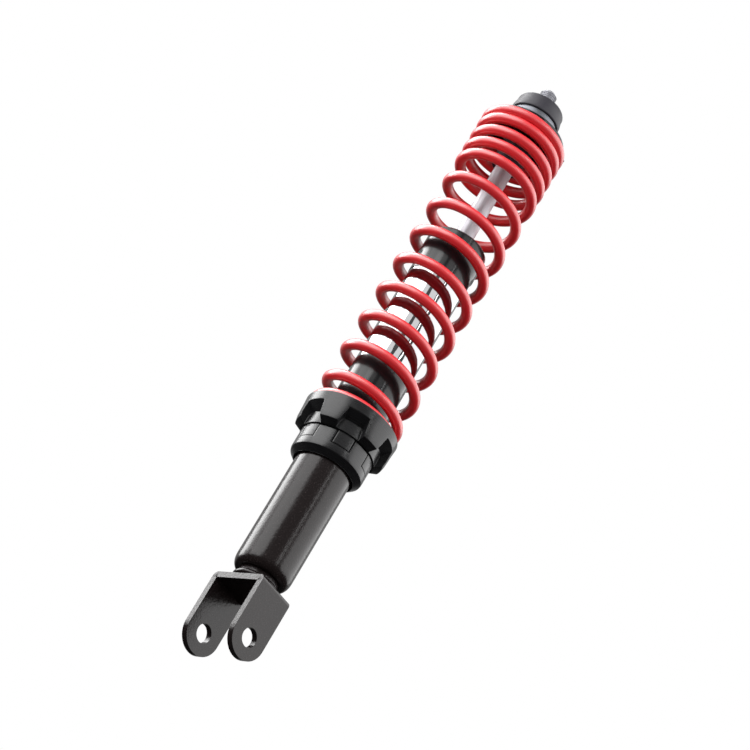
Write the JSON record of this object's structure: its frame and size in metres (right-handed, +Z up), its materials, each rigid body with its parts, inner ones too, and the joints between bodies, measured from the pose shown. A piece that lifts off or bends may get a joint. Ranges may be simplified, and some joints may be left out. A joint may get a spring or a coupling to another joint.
{
  "type": "rear shock absorber",
  "caption": "Coil-over rear shock absorber with a clevis below, a bushed stud above, a chrome damper body and a threaded spring preload adjuster.",
  "frame": {"origin": "centre of the lower clevis bore, midway between the ears", "axes": "+X along the clevis bore, +Z up the shock's centre line to the stud"},
  "size_m": [0.0552, 0.0552, 0.4011],
  "materials": {
    "textured_black": "fine textured powder coat",
    "gloss_black": "gloss",
    "thread_steel": "dark plated",
    "adjuster_black": "satin black anodised",
    "chrome": "polished",
    "spring_red": "gloss powder coat",
    "steel": "bright plated",
    "aluminium": "machined",
    "bronze": "machined",
    "seal_rubber": "matte",
    "bush_rubber": "matte moulded",
    "band_plastic": "filled PTFE"
  },
  "bodies": {
    "damper_body": {"clevis_bracket": "textured_black", "base_boss": "textured_black", "lower_tube": "textured_black", "base_plug": "steel", "damper_cylinder": "steel", "thread_sleeve": "thread_steel", "black_sleeve": "gloss_black", "chrome_sleeve": "chrome", "end_cap": "gloss_black", "rod_guide": "aluminium", "guide_bush": "bronze", "oil_seal": "seal_rubber", "seal_circlip": "steel", "dust_wiper": "seal_rubber"},
    "gas_piston_group": {"gas_piston": "aluminium", "gas_piston_seal": "seal_rubber"},
    "spring_seat": {"slip_washer": "steel"},
    "preload_adjuster": {"adjuster_nut": "adjuster_black", "adjuster_collar": "adjuster_black"},
    "rod_assembly": {"piston_rod": "chrome", "piston": "aluminium", "piston_band": "band_plastic", "compression_shims": "steel", "rebound_shims": "steel", "piston_nut": "steel", "top_out_bumper": "seal_rubber", "bump_stop": "seal_rubber", "seat_lock_nut": "steel", "upper_spring_seat": "gloss_black", "top_cup": "steel", "top_bush": "bush_rubber", "bush_sleeve": "steel", "top_washer": "steel", "main_spring": "spring_red"}
  },
  "joints": [
    {"name": "compression", "type": "slide", "parent": "damper_body", "child": "rod_assembly", "axis": [0, 0, -1], "range_m": [0, 0.058], "stiffness_N_per_m": 20000, "springref_m": -0.012, "deforming": ["main_spring"]},
    {"name": "gas_piston_slide", "type": "slide", "parent": "damper_body", "child": "gas_piston_group", "axis": [0, 0, -1], "range_m": [0, 0.0095]},
    {"name": "preload_lift", "type": "slide", "parent": "damper_body", "child": "spring_seat", "axis": [0, 0, 1], "range_m": [0, 0.008]},
    {"name": "preload_turn", "type": "hinge", "parent": "spring_seat", "child": "preload_adjuster", "pos_m": [0, 0, 0.12], "axis": [0, 0, 1], "range_deg": [0, 1440]}
  ],
  "couplings": [
    {"joint": "gas_piston_slide", "follows": "compression", "ratio": 0.16},
    {"joint": "preload_turn", "follows": "preload_lift", "rad_per_m": 3141.6}
  ]
}
